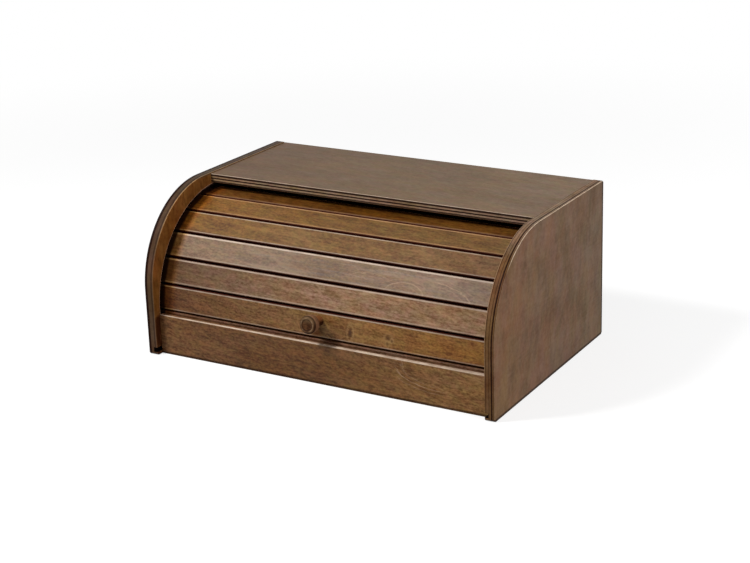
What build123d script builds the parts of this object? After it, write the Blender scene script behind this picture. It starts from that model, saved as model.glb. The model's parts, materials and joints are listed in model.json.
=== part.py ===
from build123d import *
import math
import os

# Roll-top bread box. Millimetres, +Z up, the front faces -Y.
# The pieces are laid out from the front edges of the side panels (y = 0) and
# from the table (z = 0), then moved so that the origin is under the middle.

# Case
width = 390.0  # over the two side panels
depth = 248.0  # of a side panel
height = 164.0  # of a side panel
side_thickness = 10.5
front_radius = 97.0  # quarter round at the front of a side panel
corner_ease = 2.0  # eased square corners of the side outline
edge_round = 1.0  # rounded front and top edges of the side panels

# Top board, between the sides
top_thickness = 9.5
top_front = 108.0  # its front edge, behind the sides' front edges
top_drop = 1.0  # its face lies this far under the sides' top edges
top_nose = 1.6  # rounded front edge

# Front rail, between the sides
rail_height = 41.0
rail_thickness = 6.0
rail_setback = 8.0  # behind the sides' front edges
rail_nose = 1.2

# Bottom panel, in grooves that run out at the sides' front edges
bottom_thickness = 4.4
bottom_lift = 3.4  # its underside over the table
bottom_housing = 4.0  # depth of its groove in a side panel
rail_housing = 2.5  # depth of its groove in the rail

# Back panel, in rebates
back_thickness = 4.0
back_housing = 5.0  # width of its rebate in the sides and the top board
back_lift = 1.0  # its lower edge over the table

# Track of the shutter, a round groove in the inner face of each side
track_radius = 106.5  # outer wall, the lip that shows
track_front = 9.3  # least distance from the sides' front edges to the lip
track_top = 12.0  # least distance from the sides' top edges to the lip
track_depth = 5.0
track_corner = 2.0  # rounded ends of the groove
lip_ease = 0.5  # broken edge all round the groove's mouth
stop_clearance = 0.4  # between the lowest slat and the groove's lower end
tail_clearance = 6.0  # left at the groove's other end with the shutter open

# Shutter
slat_thickness = 7.0
slat_width = 25.6
slat_joint = 0.2  # between two slats, at their backs
slat_round = 1.2  # rounded front edges
face_inset = 6.0  # slat faces inside the lip
tongue_thickness = 5.0
seam_rise = 3.0  # first seam above the rail
opening_angle = 72.0  # turn of the shutter from closed to open
canvas_thickness = 0.6
canvas_margin = 5.0  # canvas edge inside the sides' inner faces
canvas_hem = 2.0  # canvas end short of the first and last slat edges

# Knob and its screw
knob_rise = 3.8  # above the middle of its slat
knob_diameter = 18.0
knob_length = 22.0
knob_neck_diameter = 10.0
knob_neck_length = 11.0
knob_flare = 4.0  # length of the cone from neck to head
knob_rim = 3.0  # rim of the head, turned round in two flats
knob_dish = 0.9  # depth of the hollow in the face
knob_floor_diameter = 6.0  # flat floor of the hollow
knob_bore = 12.0  # depth of the screw hole
screw_diameter = 3.5
screw_head_diameter = 7.0
screw_head_height = 2.4
screw_bite = 11.0  # length in the knob
screw_tip_diameter = 0.9
screw_cross_width = 1.1  # arms of the cross recess
screw_cross_length = 4.2

# Dowels and staples
top_dowel_diameter = 5.0
top_dowel_length = 20.0
top_dowel_margin = 22.0  # from the top board's front and back edges
rail_dowel_diameter = 4.0
rail_dowel_length = 16.0
rail_dowel_height = 14.0  # above the table
dowel_in_side = 6.0
staple_crown = 10.0
staple_wire = 1.0
staple_leg = 12.0
staples_per_side = 3
staples_in_top = 3
staple_margin = 26.0  # from the back panel's corners

# Clearances
fit = 0.1  # glued and pressed joints
slide = 0.3  # panels in their grooves
shoulder = 1.0  # slat shoulders beside the sides
end_play = 0.8  # slat ends in the track
track_play = 0.5  # tongues over the track's inner wall
bore_play = 0.25  # screw in the slat
over = 1.0  # how far a cutting shape reaches past the wood

quarter_turn = 90.0

# Places worked out from the sizes above
inner_x = width / 2 - side_thickness
top_level = height - top_drop
top_under = top_level - top_thickness
rail_back = rail_setback + rail_thickness
bottom_top = bottom_lift + bottom_thickness
back_face = depth - back_thickness - slide
axis_y = track_front + track_radius
axis_z = height - track_top - track_radius
face_radius = track_radius - face_inset
back_radius = face_radius - slat_thickness
track_inner = face_radius - tongue_thickness - track_play
half_pitch = math.degrees(math.atan((slat_width + slat_joint) / 2 / back_radius))
half_slat = math.degrees(math.atan(slat_width / 2 / back_radius))
seam_angle = math.degrees(math.asin((rail_height + seam_rise - axis_z) / face_radius))
top_front_angle = 90 - math.degrees(math.asin((axis_y - top_front) / face_radius))
slat_count = 1 + math.ceil((top_front_angle - seam_angle) / (2 * half_pitch))
knob_slat_count = 2  # slats up to the one with the knob
track_start = seam_angle - half_pitch - half_slat - math.degrees(stop_clearance / back_radius)
shutter_end = seam_angle + 2 * half_pitch * (slat_count - 1)
track_end = shutter_end + opening_angle + math.degrees(tail_clearance / back_radius)


def slat_angle(number):
    # Angle of a slat's middle on the track, from straight ahead and upwards
    return seam_angle + half_pitch * (2 * number - 3)


def track_point(angle, radius, along=0.0):
    # A point in the track's plane, as y and z, from the track's centre
    turn = math.radians(angle)
    y = axis_y - radius * math.cos(turn) + along * math.sin(turn)
    z = axis_z + radius * math.sin(turn) + along * math.cos(turn)
    return (y, z)


def on_slat(number, radius):
    # A plane square to a slat, its Z outwards and its Y up the shutter
    angle = slat_angle(number)
    turn = math.radians(angle)
    y, z = track_point(angle, radius)
    return Plane(origin=(0, y, z), x_dir=(1, 0, 0), z_dir=(0, -math.cos(turn), math.sin(turn)))


def at_knob(radius):
    # The knob's axis at a distance from the track's centre
    return on_slat(knob_slat_count, radius).location * Pos(0, knob_rise, 0)


def block(x_range, y_range, z_range):
    # A box from its limits
    size = [high - low for low, high in (x_range, y_range, z_range)]
    middle = [(high + low) / 2 for low, high in (x_range, y_range, z_range)]
    return Pos(*middle) * Box(*size)


def side_blank():
    # Outline of a side panel, rounded along its front, quarter round and top
    with BuildPart() as blank:
        with BuildSketch(Plane.YZ.offset(inner_x)):
            with BuildLine():
                Polyline(
                    (0, height - front_radius),
                    (0, 0),
                    (depth, 0),
                    (depth, height),
                    (front_radius, height),
                )
                CenterArc((front_radius, height - front_radius), front_radius, 90, 90)
            make_face()
            top_back = vertices().group_by(Axis.Y)[-1].sort_by(Axis.X)[-1:]
            chamfer(vertices().group_by(Axis.Y)[0] + top_back, corner_ease)
        extrude(amount=side_thickness)
        faces_out = edges().group_by(Axis.X)
        curves = (faces_out[0] + faces_out[-1]).filter_by(GeomType.CIRCLE)
        fillet(curves, edge_round)
    return blank.part


def track_cut():
    # The round groove that the slats' tongues run in
    start_out = track_point(track_start, track_radius)
    start_in = track_point(track_start, track_inner)
    end_out = track_point(track_end, track_radius)
    end_in = track_point(track_end, track_inner)
    middle = (track_start + track_end) / 2
    with BuildPart() as groove:
        with BuildSketch(Plane.YZ.offset(inner_x)):
            with BuildLine():
                ThreePointArc(start_out, track_point(middle, track_radius), end_out)
                Line(end_out, end_in)
                ThreePointArc(end_in, track_point(middle, track_inner), start_in)
                Line(start_in, start_out)
            make_face()
            fillet(vertices(), track_corner)
        extrude(amount=track_depth)
    return groove.part


def top_dowel_places():
    # Middle of each dowel between the top board and the right side
    z = (top_level + top_under) / 2
    return [(top_front + top_dowel_margin, z), (depth - top_dowel_margin, z)]


def rail_dowel_place():
    return (rail_setback + rail_thickness / 2, rail_dowel_height)


def dowel_hole(place, diameter, length):
    # Hole for a dowel across the joint face of the right side
    y, z = place
    depth_in = dowel_in_side + slide
    reach = length - dowel_in_side + slide
    hole = Cylinder(diameter / 2 + fit / 2, depth_in + reach, rotation=(0, 90, 0))
    return Pos(inner_x + (depth_in - reach) / 2, y, z) * hole


def dowel(place, diameter, length):
    y, z = place
    peg = Cylinder(diameter / 2, length, rotation=(0, 90, 0))
    return Pos(inner_x + dowel_in_side - length / 2, y, z) * peg


def back_rebate():
    # Room for the back panel behind the sides and the top board
    reach = inner_x + back_housing
    return block((-reach, reach), (back_face, depth + over), (-over, top_under + back_housing))


def bottom_room():
    # Room for the bottom panel, open at the sides' front edges
    reach = inner_x + bottom_housing
    z_range = (bottom_lift - slide / 2, bottom_top + slide / 2)
    return block((-reach, reach), (-over, back_face + over), z_range)


def staple_places():
    # Staples round the back panel's edge, as x, z and the crown's turn
    side_x = inner_x + back_housing / 2
    low = back_lift + staple_margin
    high = top_under - staple_margin
    step = (high - low) / (staples_per_side - 1)
    rows = [low + step * k for k in range(staples_per_side)]
    places = [(side * side_x, row, quarter_turn) for side in (-1, 1) for row in rows]
    top_z = top_under + back_housing / 2
    spread = inner_x - staple_margin
    step = 2 * spread / (staples_in_top - 1)
    return places + [(-spread + step * k, top_z, 0) for k in range(staples_in_top)]


def staple(place):
    # A wire staple, its crown flush with the back panel
    x, z, turn = place
    crown = Pos(0, -staple_wire / 2, 0) * Box(staple_crown, staple_wire, staple_wire)
    leg = Box(staple_wire, staple_leg, staple_wire)
    leg_x = (staple_crown - staple_wire) / 2
    legs = [Pos(side * leg_x, -staple_leg / 2, 0) * leg for side in (-1, 1)]
    return Pos(x, back_face + back_thickness, z) * Rot(0, turn, 0) * (crown + legs[0] + legs[1])


def staples():
    return [staple(place) for place in staple_places()]


def side_right():
    panel = side_blank() - track_cut()
    lip = panel.edges().filter_by(GeomType.CIRCLE).group_by(Axis.X)[0]
    panel = chamfer(lip.filter_by(lambda edge: abs(edge.radius - track_radius) < fit), lip_ease)
    panel = panel - bottom_room() - back_rebate()
    for place in top_dowel_places():
        panel -= dowel_hole(place, top_dowel_diameter, top_dowel_length)
    panel -= dowel_hole(rail_dowel_place(), rail_dowel_diameter, rail_dowel_length)
    for each in staples():
        panel -= each
    return panel


def both_ways(shape):
    return shape + mirror(shape, about=Plane.YZ)


def top_board():
    board = block((-inner_x, inner_x), (top_front, depth), (top_under, top_level))
    front = board.edges().filter_by(Axis.X).group_by(Axis.Y)[0]
    board = fillet(front, top_nose)
    board -= back_rebate()
    for place in top_dowel_places():
        board -= both_ways(dowel_hole(place, top_dowel_diameter, top_dowel_length))
    for each in staples():
        board -= each
    return board


def front_rail():
    rail = block((-inner_x, inner_x), (rail_setback, rail_back), (0, rail_height))
    top = rail.edges().filter_by(Axis.X).group_by(Axis.Z)[-1]
    rail = fillet(top, rail_nose)
    z_range = (bottom_lift - slide / 2, bottom_top + slide / 2)
    reach = inner_x + over
    rail -= block((-reach, reach), (rail_back - rail_housing, rail_back + over), z_range)
    rail -= both_ways(dowel_hole(rail_dowel_place(), rail_dowel_diameter, rail_dowel_length))
    return rail


def bottom_panel():
    reach = inner_x + bottom_housing - slide
    y_range = (rail_back - rail_housing + slide, back_face)
    return block((-reach, reach), y_range, (bottom_lift, bottom_top))


def back_panel():
    reach = inner_x + back_housing - slide
    z_range = (back_lift, top_under + back_housing - slide)
    panel = block((-reach, reach), (back_face, back_face + back_thickness), z_range)
    for each in staples():
        panel -= each
    return panel


def slat(number):
    # A flat slat with rounded front edges, thinned at its ends into tongues
    reach = inner_x + track_depth - end_play
    place = on_slat(number, face_radius)
    body = Pos(0, 0, -slat_thickness / 2) * Box(2 * reach, slat_width, slat_thickness)
    front = body.edges().filter_by(Axis.X).group_by(Axis.Z)[-1]
    body = fillet(front, slat_round)
    cut_length = reach - inner_x + shoulder + over
    cut_depth = slat_thickness - tongue_thickness
    relief = Box(cut_length, slat_width + 2 * over, cut_depth + over)
    shift = inner_x - shoulder + cut_length / 2
    relief = Pos(shift, 0, -slat_thickness + (cut_depth - over) / 2) * relief
    body -= both_ways(relief)
    if number == knob_slat_count:
        body -= Pos(0, knob_rise, 0) * Cylinder(screw_diameter / 2 + bore_play, 2 * (slat_thickness + over))
    return place * body


def canvas_line(radius):
    # Fold points of the canvas on the slats' backs, as y and z
    half = slat_width / 2 - canvas_hem
    first = track_point(slat_angle(1), radius, -half)
    seams = [seam_angle + 2 * half_pitch * k for k in range(slat_count - 1)]
    folds = [track_point(seam, radius / math.cos(math.radians(half_pitch))) for seam in seams]
    last = track_point(slat_angle(slat_count), radius, half)
    return [first] + folds + [last]


def canvas_backing():
    # One strip of canvas that joins the slats at their backs
    outline = canvas_line(back_radius) + canvas_line(back_radius - canvas_thickness)[::-1]
    reach = inner_x - canvas_margin
    with BuildPart() as strip:
        with BuildSketch(Plane.YZ.offset(-reach)):
            with BuildLine():
                Polyline(*outline, close=True)
            make_face()
        extrude(amount=2 * reach)
    hole = Cylinder(screw_head_diameter / 2 + bore_play, 2 * (canvas_thickness + over))
    return strip.part - at_knob(back_radius) * hole


def knob():
    # Turned knob: neck, flared head with an eased rim and a hollow face
    neck = knob_neck_diameter / 2
    head = knob_diameter / 2
    flare_end = knob_neck_length + knob_flare
    rim_start = knob_length - knob_rim
    dish = head - knob_rim
    floor = knob_length - knob_dish
    eased = knob_rim * (1 - math.sqrt(0.5))
    with BuildPart() as turned:
        with BuildSketch(Plane.XZ):
            with BuildLine():
                Polyline(
                    (0, 0),
                    (neck, 0),
                    (neck, knob_neck_length),
                    (head, flare_end),
                    (head, rim_start),
                    (head - eased, knob_length - eased),
                    (dish, knob_length),
                    (knob_floor_diameter / 2, floor),
                    (0, floor),
                    close=True,
                )
            make_face()
        revolve(axis=Axis.Z)
    bore = Cylinder(screw_diameter / 2, knob_bore, align=(Align.CENTER, Align.CENTER, Align.MIN))
    return at_knob(face_radius) * (turned.part - bore)


def knob_screw():
    # Cheese-head wood screw through the slat, its head on the slat's back
    shank_length = slat_thickness + screw_bite
    upwards = (Align.CENTER, Align.CENTER, Align.MIN)
    downwards = (Align.CENTER, Align.CENTER, Align.MAX)
    point = Pos(0, 0, shank_length - screw_diameter) * Cone(
        screw_diameter / 2, screw_tip_diameter / 2, screw_diameter, align=upwards
    )
    shank = Cylinder(screw_diameter / 2, shank_length - screw_diameter, align=upwards) + point
    head = Cylinder(screw_head_diameter / 2, screw_head_height, align=downwards)
    bar = Box(screw_cross_length, screw_cross_width, screw_head_height)
    cross = Pos(0, 0, -screw_head_height) * (bar + Rot(0, 0, quarter_turn) * bar)
    return at_knob(back_radius) * (shank + (head - cross))


def build_pieces():
    right = side_right()
    top_pegs = [dowel(place, top_dowel_diameter, top_dowel_length) for place in top_dowel_places()]
    rail_peg = dowel(rail_dowel_place(), rail_dowel_diameter, rail_dowel_length)
    pieces = {
        "side_left": mirror(right, about=Plane.YZ),
        "side_right": right,
        "top_board": top_board(),
        "front_rail": front_rail(),
        "bottom_panel": bottom_panel(),
        "back_panel": back_panel(),
        "canvas_backing": canvas_backing(),
        "knob": knob(),
        "knob_screw": knob_screw(),
        "top_dowels_right": Compound(children=top_pegs),
        "top_dowels_left": Compound(children=[mirror(peg, about=Plane.YZ) for peg in top_pegs]),
        "rail_dowel_right": rail_peg,
        "rail_dowel_left": mirror(rail_peg, about=Plane.YZ),
        "back_staples": Compound(children=staples()),
    }
    for number in range(1, slat_count + 1):
        pieces[f"slat_{number}"] = slat(number)
    return pieces


def write_parts():
    # The origin is on the table, under the middle of the whole box
    pieces = build_pieces()
    middle_y = (depth + pieces["knob"].bounding_box().min.Y) / 2
    os.makedirs("parts", exist_ok=True)
    for name, piece in pieces.items():
        export_step(Pos(0, -middle_y, 0) * piece, f"parts/{name}.step")
    print("slats:", slat_count, " track axis y:", round(axis_y - middle_y, 4), " z:", round(axis_z, 4))


write_parts()
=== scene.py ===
import json
import math
import bmesh
import bpy
from mathutils import Matrix, Vector, noise


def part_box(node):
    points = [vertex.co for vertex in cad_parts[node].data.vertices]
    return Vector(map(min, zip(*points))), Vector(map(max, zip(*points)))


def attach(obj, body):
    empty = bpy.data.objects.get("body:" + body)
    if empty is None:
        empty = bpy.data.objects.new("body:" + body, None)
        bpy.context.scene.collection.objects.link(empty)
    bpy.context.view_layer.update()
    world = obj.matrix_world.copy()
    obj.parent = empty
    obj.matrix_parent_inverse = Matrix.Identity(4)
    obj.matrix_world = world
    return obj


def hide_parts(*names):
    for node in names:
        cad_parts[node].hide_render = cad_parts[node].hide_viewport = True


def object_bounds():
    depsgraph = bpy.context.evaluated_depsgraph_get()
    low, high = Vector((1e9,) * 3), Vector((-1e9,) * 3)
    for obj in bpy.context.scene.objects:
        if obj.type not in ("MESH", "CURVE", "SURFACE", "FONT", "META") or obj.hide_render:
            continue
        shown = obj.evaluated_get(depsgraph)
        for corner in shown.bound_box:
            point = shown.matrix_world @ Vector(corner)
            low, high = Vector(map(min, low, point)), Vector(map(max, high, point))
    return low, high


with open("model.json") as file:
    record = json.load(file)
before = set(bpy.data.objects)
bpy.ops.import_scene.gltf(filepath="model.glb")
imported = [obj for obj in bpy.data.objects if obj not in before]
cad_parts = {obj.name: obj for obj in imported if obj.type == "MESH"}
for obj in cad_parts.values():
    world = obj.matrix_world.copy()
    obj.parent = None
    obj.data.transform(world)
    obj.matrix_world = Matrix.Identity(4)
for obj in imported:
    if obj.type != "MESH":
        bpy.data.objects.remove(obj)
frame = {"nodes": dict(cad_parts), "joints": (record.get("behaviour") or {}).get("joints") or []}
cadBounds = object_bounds()
nodes = frame["nodes"]
xAxis, yAxis, zAxis = Vector((1, 0, 0)), Vector((0, 1, 0)), Vector((0, 0, 1))
fullTurn = 6.2832  # in radians
print("frame loaded:", len(nodes), "nodes")


# Where things are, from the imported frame

pivot = Vector(frame["joints"][0]["pos_m"])  # the shutter turns about this point


def extentIn(turn, name):
    # A node's limits along the three axes of a turned frame
    corners = [turn.transposed() @ vertex.co for vertex in nodes[name].data.vertices]
    low = Vector([min(corner[k] for corner in corners) for k in range(3)])
    high = Vector([max(corner[k] for corner in corners) for k in range(3)])
    return low, high


def boardFrame(name, along, outward):
    # Axes of a flat board: along its grain, across it, and out of its face
    face = max(nodes[name].data.polygons, key=lambda polygon: polygon.area).normal.copy()
    if face.dot(outward) < 0:
        face.negate()
    turn = Matrix((along, face.cross(along), face)).transposed()  # board to world
    low, high = extentIn(turn, name)
    middle = Vector(((low.x + high.x) / 2, (low.y + high.y) / 2, high.z))
    return {"turn": turn, "middle": turn @ middle, "size": high - low}


def radialFrame(name):
    # A slat's frame, its face turned away from the pivot
    low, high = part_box(name)
    outward = (low + high) / 2 - pivot
    outward.x = 0
    return boardFrame(name, xAxis, outward.normalized())


slatNames = sorted(name for name in nodes if name.startswith("slat_"))
slatFrames = {name: radialFrame(name) for name in slatNames}


# Small helpers for shader nodes

def screenColour(red, green, blue):
    # Linear colour from the 0 to 255 values seen on a screen
    def linear(value):
        value = value / 255
        return value / 12.92 if value <= 0.04045 else ((value + 0.055) / 1.055) ** 2.4
    return (linear(red), linear(green), linear(blue), 1.0)


def addNode(tree, kind, values=None, **settings):
    node = tree.nodes.new("ShaderNode" + kind)
    for setting, value in settings.items():
        setattr(node, setting, value)
    for socket, value in (values or {}).items():
        if isinstance(value, bpy.types.NodeSocket):
            tree.links.new(value, node.inputs[socket])
        else:
            node.inputs[socket].default_value = value
    return node


def coordinates(tree, kind):
    return addNode(tree, "TexCoord").outputs[kind]


def calc(tree, operation, first, second=0.0, third=0.0, clamp=False):
    values = {0: first, 1: second, 2: third}
    return addNode(tree, "Math", values, operation=operation, use_clamp=clamp).outputs[0]


def multiply(tree, *values):
    product = values[0]
    for value in values[1:]:
        product = calc(tree, "MULTIPLY", product, value)
    return product


def within(tree, value, low, high):
    # One from low to high, and nought elsewhere
    return multiply(tree, calc(tree, "GREATER_THAN", value, low),
                    calc(tree, "LESS_THAN", value, high))


def between(tree, value, low, high, start=0.0, end=1.0, smooth=True):
    # Value mapped from low..high to start..end, held at both ends
    kind = "SMOOTHSTEP" if smooth else "LINEAR"
    values = {"Value": value, "From Min": low, "From Max": high, "To Min": start, "To Max": end}
    return addNode(tree, "MapRange", values, interpolation_type=kind, clamp=True).outputs["Result"]


def band(tree, value, start, full, ease, end, strength=1.0):
    # Comes in from start to full, and goes out again from ease to end
    return multiply(tree, between(tree, value, start, full),
                    between(tree, value, end, ease, 0.0, strength))


def vectorCalc(tree, operation, first, second):
    return addNode(tree, "VectorMath", {0: first, 1: second}, operation=operation).outputs[0]


def lengthOf(tree, vector):
    return addNode(tree, "VectorMath", {0: vector}, operation="LENGTH").outputs["Value"]


def splitUp(tree, vector):
    return addNode(tree, "SeparateXYZ", {0: vector}).outputs


def inPlane(tree, parts):
    # A point's place in the plane of a board's face
    return addNode(tree, "CombineXYZ", {0: parts[0], 1: parts[1], 2: 0.0}).outputs[0]


def mixColour(tree, factor, first, second, mode="MIX"):
    values = {0: factor, 6: first, 7: second}
    return addNode(tree, "Mix", values, data_type="RGBA", blend_type=mode).outputs[2]


def layTone(tree, mask, colour, tone, mode="MIX"):
    # A tone laid over the colour where the mask says
    return mixColour(tree, mask, colour, screenColour(*tone), mode)


def shifted(tree, factor, colour, first, second):
    # The colour multiplied by something between two tints
    shift = mixColour(tree, factor, (*first, 1.0), (*second, 1.0))
    return mixColour(tree, 1.0, colour, shift, "MULTIPLY")


noiseSpan = (0.3, 0.7)  # most of a noise's values lie between these


def noiseAt(tree, place, scale, seed, detail, rough=0.5, distortion=0.0):
    # Noise of a given size each way, in cycles per metre
    moved = addNode(tree, "VectorMath", {0: place, 1: scale, 2: (seed, 1.7 * seed, 2.3 * seed)},
                    operation="MULTIPLY_ADD").outputs[0]
    values = {"Vector": moved, "Scale": 1.0, "Detail": detail, "Roughness": rough,
              "Distortion": distortion}
    return addNode(tree, "TexNoise", values).outputs["Fac"]


def startMaterial(name, place=None):
    # A new material and its board coordinates: along, across and through
    material = bpy.data.materials.new(name)
    material.use_nodes = True
    tree = material.node_tree
    shader = tree.nodes["Principled BSDF"]
    spot = coordinates(tree, "Object")
    if place:
        values = {"Vector": spot, "Location": place["middle"], "Rotation": place["turn"].to_euler()}
        spot = addNode(tree, "Mapping", values, vector_type="TEXTURE").outputs[0]
    return material, tree, shader, spot


def finishSurface(tree, shader, colour, roughness, relief=None, depth=0.0, strength=0.6):
    # Colour, roughness and bump into a material's shader
    tree.links.new(colour, shader.inputs["Base Color"])
    tree.links.new(roughness, shader.inputs["Roughness"])
    if relief is not None:
        values = {"Height": relief, "Distance": depth, "Strength": strength}
        tree.links.new(addNode(tree, "Bump", values).outputs[0], shader.inputs["Normal"])


def setUniform(shader, **values):
    # Values that are the same all over, on the shader's own sockets
    for name, value in values.items():
        shader.inputs[name.replace("_", " ")].default_value = value


def dress(name, material):
    nodes[name].data.materials.clear()
    nodes[name].data.materials.append(material)


# Stained and lacquered wood

stainedLook = {
    "seed": 1.0,
    "tones": ((112, 82, 54), (112, 82, 54), (112, 82, 54)),  # at one end, the middle, the other end, partly the wood's own tone and partly painted light and shade
    "edgeTone": (96, 70, 50),      # stain on the boards' edges
    "upTone": None,                # and on those that face up, where it differs
    "edgeDepth": (0.0003, 0.0010),  # how far from a face the edge's stain starts and is full
    "warm": (1.05, 1.0, 0.84),     # golden and greyer drifts of the stain
    "cool": (0.99, 0.985, 1.05),
    "tintSize": (16.0, 42.0, 42.0),
    "rosy": (1.05, 0.955, 0.98),   # and small patches of red and olive in it
    "olive": (0.96, 1.03, 0.92),
    "patchSize": (90.0, 130.0, 130.0),
    "shiftLimits": (0.36, 0.64),   # noise values where one tint ends and the other is full
    "darkest": (0.50, 0.38, 0.24),  # the stain where the markings darken and lighten it most
    "lightest": (1.48, 1.54, 1.62),
    "markLimits": (-0.55, 0.55),   # sums of the markings that give those
    "drift": 0.10,                 # how much of that each marking brings, and its size
    "driftSize": (9.0, 24.0, 24.0),
    "clouds": 0.18,
    "cloudSize": (38.0, 120.0, 120.0),
    "mottle": 0.28,
    "mottleSize": (105.0, 400.0, 400.0),
    "speckle": 0.34,
    "speckleSize": (330.0, 560.0, 560.0),
    "streaks": 0.20,
    "streakSize": (26.0, 480.0, 480.0),
    "flecks": 0.12,
    "fleckSize": (190.0, 900.0, 900.0),
    "darkFlecks": (0.56, 0.70),
    "paleFlecks": (0.42, 0.30),
    "pores": 0.15,
    "poreSize": (300.0, 2400.0, 2400.0),
    "openPores": (0.60, 0.72),
    "slant": 9.0,                  # degrees off the board's length
    "arcs": 0.10,                  # pale growth lines of peeled veneer
    "arcSize": (7.0, 26.0, 10.0),
    "arcLines": 5.0,
    "arcWander": 1.5,
    "arcLimits": (0.55, 1.0),
    # these in millimetres, with a strength at the end
    "figures": (),                 # growth lines: along, across, two radii, start and end
    "plyLines": (),                # depth and half width
    "knots": (),                   # along, across and two radii
    "seamShade": 0.0,              # painted shade in the seams between slats
    "seamTone": (60, 21, 13),
    "seamReach": (0.0010, 0.0005),
    "upperRim": 0.0,               # pale wear and painted highlight on the long edges
    "lowerRim": 0.0,
    "rimWidth": 0.0014,
    "rimInset": 0.0,
    "rimSpread": 1.0,              # how many times wider it is at the right end
    "rimDepth": 0.0007,
    "rimBreaks": (70.0, 220.0, 1.0),
    "rimColour": (206, 184, 164),
    "arris": (0.0, 0.0),           # pale wear and painted highlight on the rounded corners, inner and outer
    "arrisFacing": (0.15, 0.5, 0.8, 0.98),
    "arrisHeights": ((0.08, 0.11), (0.08, 0.11)),  # it fades below these heights
    "arrisColour": (214, 184, 150),
    "roughness": (0.40, 0.52),
    "gloss": 0.2,
    "leastGloss": 0.02,            # left on edges and in recesses
    "bump": 0.00005,
    "recesses": lambda tree, parts: (),  # masks with their tones and modes
}

boardNoises = {
    # size, step from the board's seed, detail, roughness, distortion, whether on the slant
    "drift": ("driftSize", 0, 2.0, 0.5, 0.0, False),
    "clouds": ("cloudSize", 3, 5.0, 0.62, 0.3, True),
    "mottle": ("mottleSize", 5, 2.0, 0.55, 0.6, True),
    "patches": ("patchSize", 31, 3.0, 0.7, 0.0, True),
    "tint": ("tintSize", 7, 5.0, 0.72, 0.0, True),
    "speckle": ("speckleSize", 9, 2.0, 0.6, 0.0, False),
    "streaks": ("streakSize", 17, 3.0, 0.6, 0.0, False),
    "flecks": ("fleckSize", 23, 1.5, 0.5, 0.0, True),
    "pores": ("poreSize", 19, 1.0, 0.5, 0.0, False),
    "arcs": ("arcSize", 11, 1.5, 0.45, 0.0, False),
}


def noiseFields(tree, spot, look):
    # The board's noises by name, each from its own part of the noise
    values = {"Vector": spot, "Rotation": (0.0, 0.0, math.radians(look["slant"]))}
    tilted = addNode(tree, "Mapping", values, vector_type="POINT").outputs[0]
    fields = {}
    for field, (size, step, detail, rough, distortion, onSlant) in boardNoises.items():
        fields[field] = noiseAt(tree, tilted if onSlant else spot, look[size],
                                look["seed"] + step, detail, rough, distortion)
    return fields


def swing(tree, value):
    # A noise value spread over -1 to 1
    return between(tree, value, 0.34, 0.66, -1.0, 1.0, smooth=False)


def toneAndLightAlong(tree, parts, place, tones):
    # The stain's colour, drifting from one end of the board to the other: partly its own tone,
    # partly painted light and shade
    half = place["size"].x / 2
    ramp = addNode(tree, "ValToRGB", {"Fac": between(tree, parts[0], -half, half, smooth=False)})
    stops = ramp.color_ramp.elements
    while len(stops) < len(tones):
        stops.new(0.5)
    for k, tone in enumerate(tones):
        stops[k].position = k / (len(tones) - 1)
        stops[k].color = screenColour(*tone)
    return ramp.outputs["Color"]


def growthArcs(tree, fields, look):
    # Level lines of a slow field, seen here and there
    wander = multiply(tree, fields["clouds"], look["arcWander"])
    phase = calc(tree, "MULTIPLY_ADD", fields["arcs"], fullTurn * look["arcLines"], wander)
    return multiply(tree, between(tree, calc(tree, "SINE", phase), *look["arcLimits"]),
                    between(tree, fields["tint"], 0.42, 0.6))


def allMarkings(tree, fields, look):
    # All markings together, around nought
    marks = [(swing(tree, fields[mark]), look[mark])
             for mark in ("clouds", "speckle", "mottle", "streaks")]
    marks.append((growthArcs(tree, fields, look), look["arcs"]))
    for mark, limits, sign in (("flecks", "darkFlecks", -1), ("flecks", "paleFlecks", 1),
                               ("pores", "openPores", -1)):
        marks.append((between(tree, fields[mark], *look[limits]), sign * look[mark]))
    gain = multiply(tree, swing(tree, fields["drift"]), look["drift"])
    for mark, weight in marks:
        gain = calc(tree, "MULTIPLY_ADD", mark, weight, gain)
    return gain


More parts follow.
